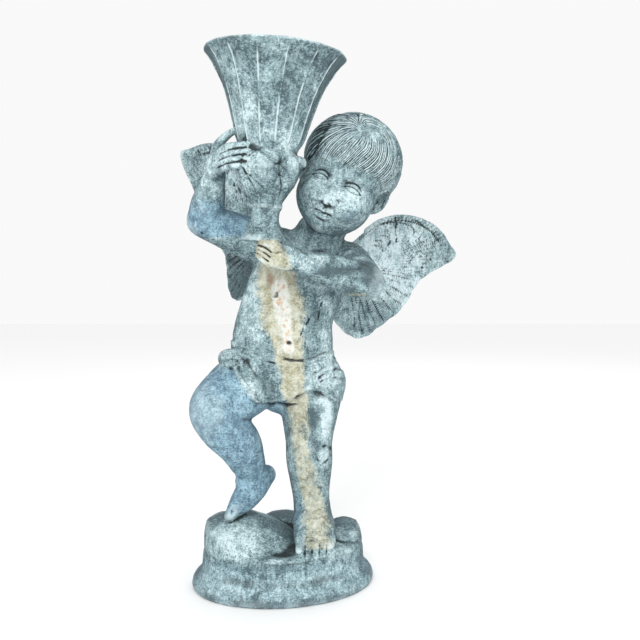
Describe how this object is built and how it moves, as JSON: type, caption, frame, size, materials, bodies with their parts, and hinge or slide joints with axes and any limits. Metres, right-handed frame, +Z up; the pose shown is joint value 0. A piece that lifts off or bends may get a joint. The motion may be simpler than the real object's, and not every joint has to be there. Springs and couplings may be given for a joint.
{
  "type": "cherub garden statue",
  "caption": "Weathered cast-metal garden figure of a winged child carrying a fluted urn on its shoulder, on an oval plinth.",
  "frame": {"origin": "middle of the flat underside of the oval plinth", "axes": "+Z up, the figure faces -Y, +X is the figure's own left"},
  "size_m": [0.4582, 0.3678, 0.7589],
  "materials": {
    "weathered_bronze": "matt blue-green verdigris with mineral stains"
  },
  "bodies": {
    "root": {"cherub_statue": "weathered_bronze"}
  },
  "joints": []
}
